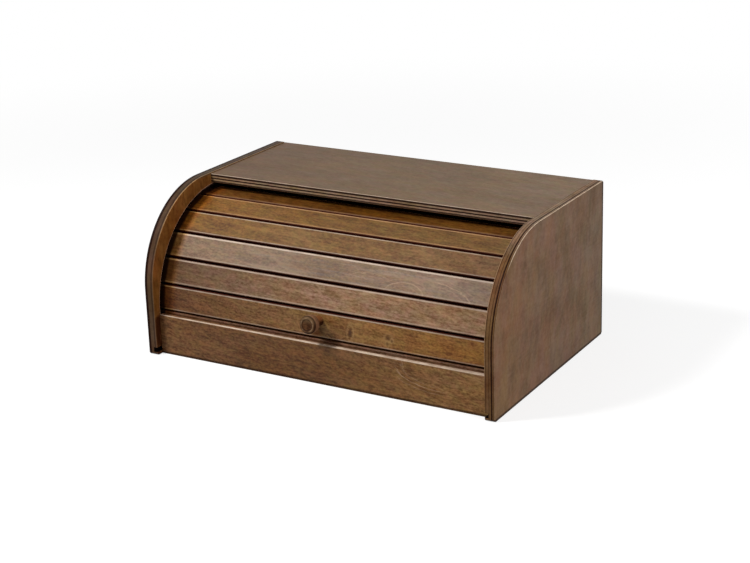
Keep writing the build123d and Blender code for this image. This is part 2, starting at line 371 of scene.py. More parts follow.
def stainedWood(name, place, **changes):
    look = {**stainedLook, **changes}
    material, tree, shader, spot = startMaterial(name, place)
    parts = splitUp(tree, spot)
    fields = noiseFields(tree, spot, look)
    # The board's own stain, and another on its edges
    thickness = place["size"].z
    near, far = look["edgeDepth"]
    inside = band(tree, parts[2], -near, -far, far - thickness, near - thickness)
    facing = splitUp(tree, coordinates(tree, "Normal"))[2]
    edge = mixColour(tree, between(tree, facing, 0.75, 0.98), screenColour(*look["edgeTone"]),
                     screenColour(*(look["upTone"] or look["edgeTone"])))
    colour = mixColour(tree, inside, toneAndLightAlong(tree, parts, place, look["tones"]), edge)
    for field, first, second in (("tint", "warm", "cool"), ("patches", "rosy", "olive")):
        drifted = between(tree, fields[field], *look["shiftLimits"])
        colour = shifted(tree, drifted, colour, look[first], look[second])
    gain = between(tree, allMarkings(tree, fields, look), *look["markLimits"], smooth=False)
    colour = shifted(tree, gain, colour, look["darkest"], look["lightest"])
    for figure in look["figures"]:
        colour = growthFigure(tree, parts, figure, colour, fields["mottle"])
    colour = plyLines(tree, parts, place, look, colour, fields["streaks"])
    for knot in look["knots"]:
        colour = darkKnot(tree, parts, knot, colour)
    # Pale wear and painted highlight on the long edges and the rounded corners
    colour = layTone(tree, rimWearAndHighlight(tree, parts, place, look), colour, look["rimColour"])
    paleLitMark = arrisWearAndHighlight(tree, place, look, fields["speckle"])
    colour = layTone(tree, paleLitMark, colour, look["arrisColour"])
    # Painted shade in the seams, then the recess masks with their painted shade and light, and
    # those painted over lose their gloss
    brink = place["size"].y / 2
    seam = between(tree, calc(tree, "ABSOLUTE", parts[1]),
                   *(brink - reach for reach in look["seamReach"]), 0.0, look["seamShade"])
    colour = layTone(tree, seam, colour, look["seamTone"])
    matt = calc(tree, "MAXIMUM", inside, seam)
    for mask, tone, mode in look["recesses"](tree, parts):
        colour = layTone(tree, mask, colour, tone, mode)
        if mode == "MIX":
            matt = calc(tree, "MAXIMUM", matt, mask)
    relief = calc(tree, "MULTIPLY_ADD", fields["speckle"], 0.5, fields["streaks"])
    relief = calc(tree, "MULTIPLY_ADD", fields["pores"], -1.0, relief)
    roughness = between(tree, fields["streaks"], *noiseSpan, *look["roughness"], smooth=False)
    finishSurface(tree, shader, colour, roughness, relief, look["bump"])
    faceOnly = calc(tree, "SUBTRACT", 1.0, matt, clamp=True)
    least = look["leastGloss"]
    gloss = calc(tree, "MULTIPLY_ADD", faceOnly, look["gloss"] - least, least)
    tree.links.new(gloss, shader.inputs["Specular IOR Level"])
    return material


figureLook = {
    "pitch": 0.0034,       # from line to line
    "reach": 0.0060,       # how far from the oval they show
    "waver": 0.03,
    "startFade": 0.004,
    "endFade": 0.010,
    "colour": (196, 160, 128),
}


def growthFigure(tree, parts, figure, colour, mottle):
    # Pale growth lines round an oval, strongest along it and fading away from it
    *distances, strength = figure
    along, across, length, width, start, end = (value / 1000 for value in distances)
    offset = addNode(tree, "CombineXYZ", {
        0: calc(tree, "MULTIPLY_ADD", parts[0], 1 / length, -along / length),
        1: calc(tree, "MULTIPLY_ADD", parts[1], 1 / width, -across / width), 2: 0.0}).outputs[0]
    away = calc(tree, "MULTIPLY_ADD", swing(tree, mottle), figureLook["waver"],
                lengthOf(tree, offset))
    away = multiply(tree, calc(tree, "SUBTRACT", away, 1.0), width)
    wave = calc(tree, "COSINE", multiply(tree, away, fullTurn / figureLook["pitch"]))
    lines = between(tree, wave, 0.55, 1.0)
    startFade, endFade = figureLook["startFade"], figureLook["endFade"]
    near = multiply(
        tree, between(tree, calc(tree, "ABSOLUTE", away), figureLook["reach"], 0.0, 0.0, strength),
        between(tree, parts[0], start - startFade, start + startFade),
        between(tree, parts[0], end + endFade, end - endFade))
    return layTone(tree, multiply(tree, lines, near), colour, figureLook["colour"])


plyLook = {
    "wave": 0.00012,
    "softness": (0.3, -0.2),     # millimetres past a line's half width, where it starts and is full
    "squareness": (0.97, 0.85),  # how squarely a face and an edge look out of the board
    "colour": (34, 16, 10),
}


def plyLines(tree, parts, place, look, colour, streaks):
    # Cross plies take more stain: dark lines in a plywood board's edges, none on its faces
    level = addNode(tree, "VectorMath", {0: coordinates(tree, "Normal"),
                                         1: tuple(place["turn"].col[2])},
                    operation="DOT_PRODUCT").outputs["Value"]
    onEdge = between(tree, calc(tree, "ABSOLUTE", level), *plyLook["squareness"])
    wavy = calc(tree, "MULTIPLY_ADD", swing(tree, streaks), plyLook["wave"], parts[2])
    for depth, halfWidth, strength in look["plyLines"]:
        away = calc(tree, "ABSOLUTE", calc(tree, "ADD", wavy, depth / 1000))
        limits = ((halfWidth + softness) / 1000 for softness in plyLook["softness"])
        line = between(tree, away, *limits, 0.0, strength)
        colour = layTone(tree, multiply(tree, line, onEdge), colour, plyLook["colour"])
    return colour


knotLook = {
    "raggedSize": (380.0, 380.0, 1.0),
    "ragged": 0.25,
    "core": (1.2, 0.3),             # in parts of the knot's radius
    "colour": (56, 28, 12),
    "ring": (0.9, 1.3, 1.4, 2.2),
    "ringStrength": 0.4,
    "ringColour": (182, 144, 98),
}


def darkKnot(tree, parts, knot, colour):
    # A small knot: an uneven dark spot, and paler wood round it
    *distances, strength = knot
    along, across, length, width = (value / 1000 for value in distances)
    flat = inPlane(tree, parts)
    offset = vectorCalc(tree, "SUBTRACT", flat, (along, across, 0.0))
    offset = vectorCalc(tree, "MULTIPLY", offset, (1 / length, 1 / width, 0.0))
    ragged = noiseAt(tree, flat, knotLook["raggedSize"], knot[0], 3.0, 0.7)
    away = calc(tree, "MULTIPLY_ADD", swing(tree, ragged), knotLook["ragged"],
                lengthOf(tree, offset))
    ring = band(tree, away, *knotLook["ring"], knotLook["ringStrength"] * strength)
    colour = layTone(tree, ring, colour, knotLook["ringColour"])
    core = between(tree, away, *knotLook["core"], 0.0, strength)
    return layTone(tree, core, colour, knotLook["colour"])


def rimWearAndHighlight(tree, parts, place, look):
    # Pale wear and painted highlight on the long edges of a board's face, broken up along the edge
    brokenPale = noiseAt(tree, inPlane(tree, parts), look["rimBreaks"], look["seed"] + 29, 2.0)
    half = place["size"].x / 2
    spread = between(tree, parts[0], -half, half, 1.0, look["rimSpread"], smooth=False)
    end = place["size"].y / 2 - look["rimInset"]
    inwards = calc(tree, "SUBTRACT", end, calc(tree, "ABSOLUTE", parts[1]))
    inwards = between(tree, calc(tree, "DIVIDE", inwards, spread),
                      look["rimWidth"], 0.6 * look["rimWidth"])
    strength = addNode(tree, "Mix", {0: calc(tree, "GREATER_THAN", parts[1], 0.0),
                                     2: look["lowerRim"], 3: look["upperRim"]}).outputs[0]
    near = between(tree, calc(tree, "DIVIDE", parts[2], spread),
                   -look["rimDepth"], -0.7 * look["rimDepth"])
    return multiply(tree, inwards, strength, near, between(tree, brokenPale, 0.25, 0.65, 0.55, 1.0))


def arrisWearAndHighlight(tree, place, look, speckle):
    # Pale wear and painted highlight where a side panel's outline is rounded over, found from the
    # way the surface faces
    across = splitUp(tree, coordinates(tree, "Normal"))[0]
    height = splitUp(tree, coordinates(tree, "Object"))[2]
    outward = math.copysign(1, place["turn"].col[2].x)
    wear = 0.0
    for side, strength, limits in zip((-1, 1), look["arris"], look["arrisHeights"]):
        rounded = band(tree, multiply(tree, across, side * outward), *look["arrisFacing"])
        rubbed = multiply(tree, between(tree, speckle, *noiseSpan, 0.6 * strength, strength),
                          between(tree, height, *limits, 0.15, 1.0))
        wear = calc(tree, "MAXIMUM", multiply(tree, rounded, rubbed), wear)
    return wear


# Slats, each from its own strip of wood

calmGrain = {"mottle": 0.15, "speckle": 0.26, "clouds": 0.24, "streaks": 0.16, "flecks": 0.10,
             "arcs": 0.32}
slatRims = {"edgeTone": (96, 42, 26), "seamShade": 0.95, "upperRim": 0.6, "lowerRim": 0.4,
            "rimInset": 0.0007}
# Each slat's tones are partly its own stain and partly painted light and shade; the top slat is
# darker under the top board
slatLooks = {
    "slat_1": {
        "seed": 2.0,
        "tones": ((104, 72, 50), (108, 76, 56), (130, 100, 80)),
        "edgeTone": (110, 78, 54),
        "upperRim": 0.0,
        "seamShade": 0.3,
    },
    "slat_2": {
        "seed": 5.3,
        "tones": ((92, 60, 38), (130, 96, 58), (138, 96, 46)),
        "knots": ((34.9, -2.8, 2.5, 5.6, 0.8), (76.5, -1.3, 3.2, 2.7, 0.55),
                  (80.5, -3.4, 1.5, 1.6, 0.65), (75.7, -7.0, 1.4, 2.2, 0.45),
                  (22, 0, 15, 26, 0.2)),
        "upperRim": 0.75,
    },
    "slat_3": {
        "seed": 9.1,
        "tones": ((84, 60, 40), (142, 112, 88), (148, 116, 90)),
        "mottle": 0.2,
        "speckle": 0.24,
        "upperRim": 0.8,
        "rimWidth": 0.0018,
    },
    "slat_4": {
        "seed": 14.6,
        "tones": ((126, 102, 80), (104, 76, 46), (126, 100, 78)),
        **calmGrain,
        "arcs": 0.45,
        "figures": ((86, -14, 21, 12, 67, 108, 0.4), (112, -22, 48, 25, 112, 162, 0.5),
                    (46, -18, 34, 20, 28, 62, 0.25)),
        "upperRim": 0.95,
        "lowerRim": 0.3,
        "rimWidth": 0.0020,
    },
    "slat_5": {
        "seed": 21.2,
        "tones": ((116, 82, 34), (112, 82, 44), (120, 88, 58)),
        **calmGrain,
    },
    "slat_6": {
        "seed": 27.9,
        "tones": ((126, 88, 38), (106, 76, 36), (114, 84, 46)),
        **calmGrain,
        "upperRim": 0.65,
        "rimWidth": 0.0019,
        "rimColour": (206, 158, 112),
    },
    "slat_7": {
        "seed": 33.4,
        "tones": ((98, 62, 26), (88, 54, 10), (104, 68, 28)),
        "lowerRim": 0.25,
        "rimColour": (206, 160, 116),
        "seamShade": 0.6,
    },
}

slatEndShadeAndLight = {
    "dark": (0.0076, 0.0045),     # from a slat's end, where the painted shade starts and is full
    "darkStrength": 0.93,
    "darkTone": (26, 9, 5),
    "warm": (0.022, 0.012),       # and at the left end a warmer stretch of painted light before it
    "warmStrength": 0.8,
    "warmTone": (292, 250, 150),  # it multiplies, so it may be over 255
}


def endShadeAndLight(tree, parts):
    # Painted shade on the slats' ends, where they run into the track, and painted light on a warmer
    # stretch at the left end
    reach = slatFrames["slat_2"]["size"].x / 2
    left = between(tree, parts[0], *(step - reach for step in slatEndShadeAndLight["warm"]),
                   0.0, slatEndShadeAndLight["warmStrength"])
    ends = between(tree, calc(tree, "ABSOLUTE", parts[0]),
                   *(reach - step for step in slatEndShadeAndLight["dark"]), 0.0, slatEndShadeAndLight["darkStrength"])
    return [(left, slatEndShadeAndLight["warmTone"], "MULTIPLY"), (ends, slatEndShadeAndLight["darkTone"], "MIX")]


# Painted shadow of the knob on slat_2
knobShadow = {
    "place": (-0.0030, -0.0070),  # along and across slat_2
    "reach": (0.013, 0.0115),
    "strength": 0.8,
    "tone": (56, 22, 6),
}


def withKnobShadow(tree, parts):
    # Painted shadow of the knob, dark on the wood under and beside it
    offset = vectorCalc(tree, "SUBTRACT", inPlane(tree, parts), (*knobShadow["place"], 0.0))
    away = lengthOf(tree, vectorCalc(tree, "DIVIDE", offset, (*knobShadow["reach"], 1.0)))
    knobShadowMask = between(tree, away, 1.0, 0.2, 0.0, knobShadow["strength"])
    return endShadeAndLight(tree, parts) + [(knobShadowMask, knobShadow["tone"], "MIX")]


for name in slatNames:
    recesses = withKnobShadow if name == "slat_2" else endShadeAndLight
    look = {**slatRims, **slatLooks[name], "recesses": recesses}
    materialName = "stained" + name.replace("_", "").capitalize()
    dress(name, stainedWood(materialName, slatFrames[name], **look))
print("slats dressed:", len(slatNames))


# Case boards of plywood

sideStainAndPaintedLight = {
    # radii from the pivot: the groove, its lip's broken edge, and the strip of painted light in the
    # groove
    "groove": (0.0948, 0.1066),
    "lip": (0.1066, 0.1073),
    "wornStrip": (0.1022, 0.1034, 0.1042, 0.1052),
    "wornStrength": 0.8,
    # heights over the outer face, below nought in the wood
    "grooveDepth": (-0.0104, -0.0101, -0.005, -0.004),
    "lipDepth": (-0.0094, -0.0100),
    "lipStrength": 0.7,
    "innerFace": (-0.0098, -0.0104),
    "outerRim": (-0.0020, -0.0010),
    "rimStrength": 0.8,
    # distances past other boards: the bottom panel, the rail, the top board, the rear edge
    "slotWidth": 0.0006,
    "slotHeight": 0.0003,
    "cornerHeight": (0.001, -0.002),
    "cornerReach": (-0.0150, -0.0050),
    "cornerStrength": 0.9,
    "topReach": (-0.0008, 0.0),
    "topStrength": 0.85,
    "lowerReach": (0.0030, 0.0020),
    "rearReach": (-0.0034, -0.0024),
    # uneven stain on the inner faces: limits of the noise, and strength
    "grainSize": (90.0, 240.0, 90.0),
    "darkGrain": (0.5, 0.68, 0.0, 0.4),
    "paleGrain": (0.48, 0.32, 0.0, 0.3),
    # the corner, groove and slot tones are painted shade, the strip in the groove and the lip
    # painted light
    "tones": {
        "inner": (264, 226, 156),  # it multiplies
        "corner": (44, 13, 6),
        "darkGrain": (52, 28, 6),
        "paleGrain": (136, 94, 50),
        "top": (64, 48, 36),
        "rim": (34, 22, 16),
        "groove": (24, 11, 7),
        "wornStrip": (92, 66, 60),
        "slot": (14, 6, 4),
        "lip": (196, 152, 122),
    },
}


def stepsFrom(start, key):
    # The limits of a painted mark, from a place on another board
    return [start + step for step in sideStainAndPaintedLight[key]]


def sideRecesses(tree, parts):
    # Stain, painted shade and painted light in a side panel's grooves and on its inner face, laid
    # on in this order
    sidePaint, tones = sideStainAndPaintedLight, sideStainAndPaintedLight["tones"]
    spot = coordinates(tree, "Object")
    world = splitUp(tree, spot)
    # Painted shade in the track, painted light on a strip in it, and a painted highlight on its
    # lip's broken edge
    flat = vectorCalc(tree, "SUBTRACT", spot, tuple(pivot))
    radius = lengthOf(tree, vectorCalc(tree, "MULTIPLY", flat, (0, 1, 1)))
    groove = multiply(tree, within(tree, radius, *sidePaint["groove"]),
                      band(tree, parts[2], *sidePaint["grooveDepth"]))
    paleLitMark = band(tree, radius, *sidePaint["wornStrip"], sidePaint["wornStrength"])
    lip = multiply(tree, within(tree, radius, *sidePaint["lip"]),
                   between(tree, parts[2], *sidePaint["lipDepth"], 0.0, sidePaint["lipStrength"]))
    # Painted shade in the bottom panel's groove too
    low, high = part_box("bottom_panel")
    level = within(tree, world[2], low.z - sidePaint["slotHeight"], high.z + sidePaint["slotHeight"])
    slot = multiply(tree, level, calc(tree, "LESS_THAN", calc(tree, "ABSOLUTE", world[0]),
                                      high.x + sidePaint["slotWidth"]))
    # Inside the box the stain is redder, and painted shade lies in the corner beside the rail
    inside = between(tree, parts[2], *sidePaint["innerFace"])
    railFront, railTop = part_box("front_rail")[0].y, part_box("front_rail")[1].z
    corner = multiply(tree, between(tree, world[2], *stepsFrom(railTop, "cornerHeight")),
                      between(tree, world[1], *stepsFrom(railFront, "cornerReach"),
                              0.0, sidePaint["cornerStrength"]))
    # It is darker above the top board, and along the lower and rear edges of the outer face
    boardTop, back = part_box("top_board")[1].z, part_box("side_right")[1].y
    top = between(tree, world[2], *stepsFrom(boardTop, "topReach"), 0.0, sidePaint["topStrength"])
    rim = calc(tree, "MAXIMUM", between(tree, world[2], *sidePaint["lowerReach"]),
               between(tree, world[1], *stepsFrom(back, "rearReach")))
    rim = multiply(tree, rim,
                   between(tree, parts[2], *sidePaint["outerRim"], 0.0, sidePaint["rimStrength"]))
    grain = noiseAt(tree, spot, sidePaint["grainSize"], 3.0, 3.0, 0.6)
    masks = {
        "corner": multiply(tree, inside, corner),
        "darkGrain": multiply(tree, inside, between(tree, grain, *sidePaint["darkGrain"])),
        "paleGrain": multiply(tree, inside, between(tree, grain, *sidePaint["paleGrain"])),
        "top": multiply(tree, inside, top),
        "rim": rim,
        "groove": groove,
        "wornStrip": multiply(tree, groove, paleLitMark),
        "slot": slot,
        "lip": lip,
    }
    return [(inside, tones["inner"], "MULTIPLY"),
            *((mask, tones[key], "MIX") for key, mask in masks.items())]


railFoot = {"heights": (0.0030, 0.0018), "strength": 0.75, "tone": (40, 24, 14)}


def lowerEdge(tree, parts):
    # Darker along the rail's lower edge
    height = splitUp(tree, coordinates(tree, "Object"))[2]
    foot = between(tree, height, *railFoot["heights"], 0.0, railFoot["strength"])
    return [(foot, railFoot["tone"], "MIX")]


sideLook = {
    "along": yAxis,
    "recesses": sideRecesses,
    "tones": ((108, 80, 56), (100, 76, 58), (98, 80, 62)),
    "rosy": (1.055, 0.96, 0.975),
    "olive": (0.96, 1.02, 0.96),
    "patchSize": (26.0, 40.0, 40.0),
    "slant": 98.0,
    "clouds": 0.20,
    "cloudSize": (24.0, 52.0, 52.0),
    "mottle": 0.10,
    "mottleSize": (90.0, 190.0, 190.0),
    "speckle": 0.08,
    "speckleSize": (260.0, 360.0, 360.0),
    "streaks": 0.02,
    "flecks": 0.05,
    "pores": 0.05,
    "gloss": 0.06,
    "bump": 0.00003,
}
caseBoards = {
    "side_left": {
        **sideLook,
        "outward": -xAxis,
        "seed": 41.0,
        "plyLines": ((1.5, 1.9, 0.97), (8.2, 0.7, 0.55)),
        "edgeTone": (86, 66, 51),
        "upTone": (76, 63, 51),
        "arris": (0.6, 0.0),
        "arrisHeights": ((0.105, 0.135), (0.105, 0.135)),
    },
    "side_right": {
        **sideLook,
        "outward": xAxis,
        "seed": 47.0,
        "plyLines": ((1.1, 0.3, 0.5), (3.0, 0.75, 0.95), (5.7, 0.3, 0.65), (9.0, 0.35, 0.6)),
        "edgeTone": (116, 85, 59),
        "upTone": (130, 108, 88),
        "arris": (0.55, 0.95),
        "arrisHeights": ((0.03, 0.06), (0.134, 0.147)),
        "arrisColour": (212, 188, 162),
    },
    "top_board": {
        "along": xAxis,
        "outward": zAxis,
        "seed": 53.0,
        "plyLines": ((1.7, 0.95, 0.95), (4.9, 0.7, 0.97), (7.8, 0.6, 0.9)),
        "tones": ((94, 72, 52), (102, 82, 60), (110, 90, 70)),
        "edgeTone": (154, 130, 108),
        "clouds": 0.10,
        "mottle": 0.10,
        "speckle": 0.12,
        "streaks": 0.06,
        "flecks": 0.06,
        "lowerRim": 0.85,
        "rimWidth": 0.0010,
        "gloss": 0.08,
    },
    "front_rail": {
        "along": xAxis,
        "outward": -yAxis,
        "seed": 59.0,
        "recesses": lowerEdge,
        "tones": ((112, 78, 48), (104, 70, 38), (144, 108, 68)),
        "edgeTone": (112, 80, 60),
        "arcs": 0.2,
        "figures": ((134, 15.7, 47, 20, 89, 136, 0.55),),
        "upperRim": 0.85,
        "rimWidth": 0.0006,
        "rimDepth": 0.0020,
        "rimSpread": 2.2,
        "rimColour": (220, 198, 176),
    },
    "back_panel": {"along": xAxis, "outward": yAxis, "seed": 61.0, "plyLines": ((2.0, 0.6, 0.6),)},
    "bottom_panel": {"along": xAxis, "outward": zAxis, "seed": 67.0,
                     "plyLines": ((2.2, 0.7, 0.6),)},
}
for name, look in caseBoards.items():
    board = boardFrame(name, look.pop("along"), look.pop("outward"))
    dress(name, stainedWood("stained" + name.title().replace("_", ""), board, **look))
print("case boards dressed")


# Objects of the scene's own

def addObject(name, data):
    thing = bpy.data.objects.new(name, data)
    bpy.context.scene.collection.objects.link(thing)
    return thing


def meshObject(name, work):
    # Finished mesh work as an object in the scene
    mesh = bpy.data.meshes.new(name)
    work.to_mesh(mesh)
    work.free()
    return addObject(name, mesh)


# Turned knob

knobLook = {
    # height over the slat and radius, in parts of the knob's length and of its head's radius
    "outline": ((0.0, 0.56), (0.05, 0.53), (0.2, 0.51), (0.36, 0.53), (0.46, 0.65), (0.53, 0.85),
                (0.61, 0.97), (0.72, 1.0), (0.86, 1.0), (0.93, 0.965), (0.97, 0.87), (0.99, 0.77),
                (0.993, 0.70), (0.986, 0.63), (0.972, 0.55), (0.962, 0.3), (0.96, 0.0)),
    "stepsBetween": 4,
    "segments": 80,
    "dark": (54, 29, 15),
    "light": (100, 66, 41),
    "grainSize": (240.0, 1100.0, 240.0),
    "cloudSize": (190.0, 190.0, 190.0),
    # the neck, and the painted shade on its lower side, which start and are full at these heights
    # over the slat
    "neck": (126, 78, 44),
    "underNeck": (36, 12, 3),
    "neckHeights": (0.58, 0.45),
    "neckStrength": 0.8,
    "neckShade": (0.0028, -0.0005),  # across the slat, in metres
    # painted light on the head's upper half
    "rubbed": (150, 120, 86),
    "rubbedReach": (0.0, 0.006),     # across the slat, in metres
    "rubbedStrength": 0.4,
    "headHeight": 0.8,
    # rings on the face, a dark one of painted shade and a pale one of painted highlight: radius,
    # where each starts and is full from there
    "darkRing": (0.6, 0.09, 0.02),
    "darkRingStrength": 0.55,
    "darkRingTone": (28, 13, 7),
    "paleRing": (0.74, 0.11, 0.03),
    "paleRingTone": (158, 130, 100),
    "paleRingHeights": (0.93, 0.97),
    # painted light on the head's flank, and painted shade on its shoulder in front of that
    "flank": (142, 102, 76),
    "flankHeights": (0.58, 0.68),
    "flankStrength": 0.5,
    "frontHeights": (0.86, 0.91),
    "shoulder": (32, 16, 8),
    "shoulderRadii": (0.86, 0.93),
    "shoulderStrength": 0.7,
    "toolMarks": 0.0013,             # from one turning mark to the next
    "bump": 0.00006,
    "roughness": (0.48, 0.62),
    "gloss": 0.04,
}


def smoothOutline(points, steps):
    # Points on a Catmull-Rom curve through the outline's points
    ends = [points[0], *points, points[-1]]
    line = []
    for before, start, end, after in zip(ends, ends[1:], ends[2:], ends[3:]):
        for k in range(steps):
            t = k / steps
            line.append([0.5 * (2 * b + (c - a) * t + (2 * a - 5 * b + 4 * c - d) * t * t
                                + (3 * b - a - 3 * c + d) * t ** 3)
                         for a, b, c, d in zip(before, start, end, after)])
    return line + [list(points[-1])]


def knobFrame():
    # The knob's own axis, seat and size
    turn = slatFrames["slat_2"]["turn"]
    low, high = extentIn(turn, "knob")
    seat = turn @ Vector(((low.x + high.x) / 2, (low.y + high.y) / 2, low.z))
    return {"turn": turn, "middle": seat, "size": high - low}


def turnedWood(place):
    look, head, length = knobLook, place["size"].x / 2, place["size"].z
    material, tree, shader, spot = startMaterial("turnedKnob", place)
    parts = splitUp(tree, spot)
    radius = lengthOf(tree, inPlane(tree, parts))

    def atHeights(key, strength=1.0):
        return between(tree, parts[2], *(height * length for height in look[key]), 0.0, strength)

    def ringAt(key, strength=1.0):
        middle, start, full = (part * head for part in look[key])
        away = calc(tree, "ABSOLUTE", calc(tree, "SUBTRACT", radius, middle))
        return between(tree, away, start, full, 0.0, strength)

    grain = noiseAt(tree, spot, look["grainSize"], 3.0, 3.0, 0.6)
    clouds = noiseAt(tree, spot, look["cloudSize"], 5.0, 3.0)
    level = calc(tree, "ADD", multiply(tree, grain, 0.5), multiply(tree, clouds, 0.5))
    colour = mixColour(tree, between(tree, level, 0.38, 0.62), screenColour(*look["dark"]),
                       screenColour(*look["light"]))
    # The neck is lighter, with painted shade on its lower side
    neckTone = mixColour(tree, between(tree, parts[1], *look["neckShade"]),
                         screenColour(*look["neck"]), screenColour(*look["underNeck"]))
    colour = mixColour(tree, atHeights("neckHeights", look["neckStrength"]), colour, neckTone)
    # Painted light on the head's upper half, and painted shade in the ring round its hollow face
    onHead = calc(tree, "GREATER_THAN", parts[2], look["headHeight"] * length)
    rubbed = between(tree, parts[1], *look["rubbedReach"], 0.0, look["rubbedStrength"])
    colour = layTone(tree, multiply(tree, rubbed, onHead), colour, look["rubbed"])
    ring = multiply(tree, ringAt("darkRing", look["darkRingStrength"]), onHead)
    colour = layTone(tree, ring, colour, look["darkRingTone"])
    # Painted light on the flank, and painted shade on the shoulder in front of it
    front = atHeights("frontHeights")
    flank = multiply(tree, atHeights("flankHeights", look["flankStrength"]),
                     calc(tree, "SUBTRACT", 1.0, front))
    colour = layTone(tree, flank, colour, look["flank"])
    shoulder = between(tree, radius, *(part * head for part in look["shoulderRadii"]),
                       0.0, look["shoulderStrength"])
    colour = layTone(tree, multiply(tree, shoulder, front), colour, look["shoulder"])
    # A broken pale ring of painted highlight on the face
    brokenPale = multiply(tree, ringAt("paleRing"), between(tree, clouds, 0.42, 0.58, 0.1, 0.6),
                   atHeights("paleRingHeights"))
    colour = layTone(tree, brokenPale, colour, look["paleRingTone"])
    marks = calc(tree, "SINE", multiply(tree, radius, fullTurn / look["toolMarks"]))
    relief = calc(tree, "MULTIPLY_ADD", marks, 0.3, grain)
    roughness = between(tree, clouds, *noiseSpan, *look["roughness"])
    finishSurface(tree, shader, colour, roughness, relief, look["bump"])
    setUniform(shader, Specular_IOR_Level=look["gloss"])
    return material


def makeKnob():
    place = knobFrame()
    outline = smoothOutline(knobLook["outline"], knobLook["stepsBetween"])
    segments = knobLook["segments"]
    work = bmesh.new()
    rings = []
    for height, radius in outline[:-1]:
        ring = []
        for k in range(segments):
            angle = 2 * math.pi * k / segments
            reach = radius * place["size"].x / 2
            spot = Vector((reach * math.cos(angle), reach * math.sin(angle),
                           height * place["size"].z))
            ring.append(work.verts.new(place["middle"] + place["turn"] @ spot))
        rings.append(ring)
    for low, high in zip(rings, rings[1:]):
        for k in range(segments):
            work.faces.new((low[k - 1], low[k], high[k], high[k - 1]))
    tipHeight = outline[-1][0] * place["size"].z
    tip = work.verts.new(place["middle"] + place["turn"] @ Vector((0, 0, tipHeight)))
    for k in range(segments):
        work.faces.new((rings[-1][k - 1], rings[-1][k], tip))
    work.faces.new(rings[0][::-1])
    bmesh.ops.recalc_face_normals(work, faces=work.faces)
    for face in work.faces:
        face.smooth = len(face.verts) < 5  # all but the flat seat
    knob = meshObject("turnedKnob", work)
    knob.data.materials.append(turnedWood(place))
    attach(knob, "shutter")
    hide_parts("knob")
    print("knob turned:", [round(1000 * size, 1) for size in place["size"]], "mm")


makeKnob()


# Plain beech dowels and zinc plated steel

beechLook = {
    "grainSize": (60.0, 1400.0, 1400.0),
    "dark": (196, 158, 116),
    "light": (222, 190, 150),
    "fleckSize": (300.0, 900.0, 900.0),
    "fleckTone": (150, 104, 66),
    "fleckStrength": 0.5,
    "roughness": (0.5, 0.7),
}
zincLook = {
    "spangleSize": (900.0, 900.0, 900.0),
    "dark": (168, 168, 166),
    "light": (212, 211, 206),
    "roughness": (0.25, 0.42),
}


def plainBeech():
    material, tree, shader, spot = startMaterial("plainBeech")
    grain = noiseAt(tree, spot, beechLook["grainSize"], 2.0, 3.0)
    flecks = noiseAt(tree, spot, beechLook["fleckSize"], 4.0, 1.0)
    colour = mixColour(tree, between(tree, grain, *noiseSpan), screenColour(*beechLook["dark"]),
                       screenColour(*beechLook["light"]))
    flecks = between(tree, flecks, 0.6, 0.75, 0.0, beechLook["fleckStrength"])
    colour = layTone(tree, flecks, colour, beechLook["fleckTone"])
    roughness = between(tree, grain, *noiseSpan, *beechLook["roughness"])
    finishSurface(tree, shader, colour, roughness)
    return material


def zincSteel():
    material, tree, shader, spot = startMaterial("zincSteel")
    spangle = noiseAt(tree, spot, zincLook["spangleSize"], 3.0, 2.0)
    colour = mixColour(tree, spangle, screenColour(*zincLook["dark"]),
                       screenColour(*zincLook["light"]))
    roughness = between(tree, spangle, *noiseSpan, *zincLook["roughness"])
    finishSurface(tree, shader, colour, roughness)
    setUniform(shader, Metallic=1.0)
    return material


beech, steel = plainBeech(), zincSteel()
for name in ("top_dowels_left", "top_dowels_right", "rail_dowel_left", "rail_dowel_right"):
    dress(name, beech)
for name in ("back_staples", "knob_screw"):
    dress(name, steel)
print("dowels, staples and screw dressed")


# Canvas that joins the slats at their backs

canvasLook = {
    "hem": 0.002,            # short of the first and last slat edges
    "sideMargin": 0.0092,    # short of the slat ends
    "threadPitch": 0.0011,
    "threadDepth": 0.00015,
    "columns": 120,
    "rowsPerSlat": 12,
    "pucker": 0.00025,
    "puckerSize": (40.0, 0.4),  # along a slat per metre, and from row to row
    "holeRadius": 0.0040,    # round the knob's screw head
    "warp": (146, 122, 92),
    "weft": (122, 98, 70),
    "slubSize": (300.0, 900.0, 900.0),
    "slubTone": (92, 70, 46),
    "slubStrength": 0.35,
    "slubWaver": 0.8,
    "roughness": (0.8, 0.95),
    "sheen": 0.2,
    "gloss": 0.2,
}


def canvasPath():
    # Fold points on the slats' backs, in the plane of the track
    backs = []
    for name in slatNames:
        place = slatFrames[name]
        outward, across = place["turn"].col[2], place["turn"].col[1]
        backs.append((place["middle"] - outward * place["size"].z, across, place["size"].y / 2))
    first, across, half = backs[0]
    points = [first - across * (half - canvasLook["hem"])]
    for (first, across, _), (second, other, _) in zip(backs, backs[1:]):
        gap = second - first
        turn = across.y * other.z - across.z * other.y
        points.append(first + across * ((gap.y * other.z - gap.z * other.y) / turn))
    last, across, half = backs[-1]
    points.append(last + across * (half - canvasLook["hem"]))
    return points


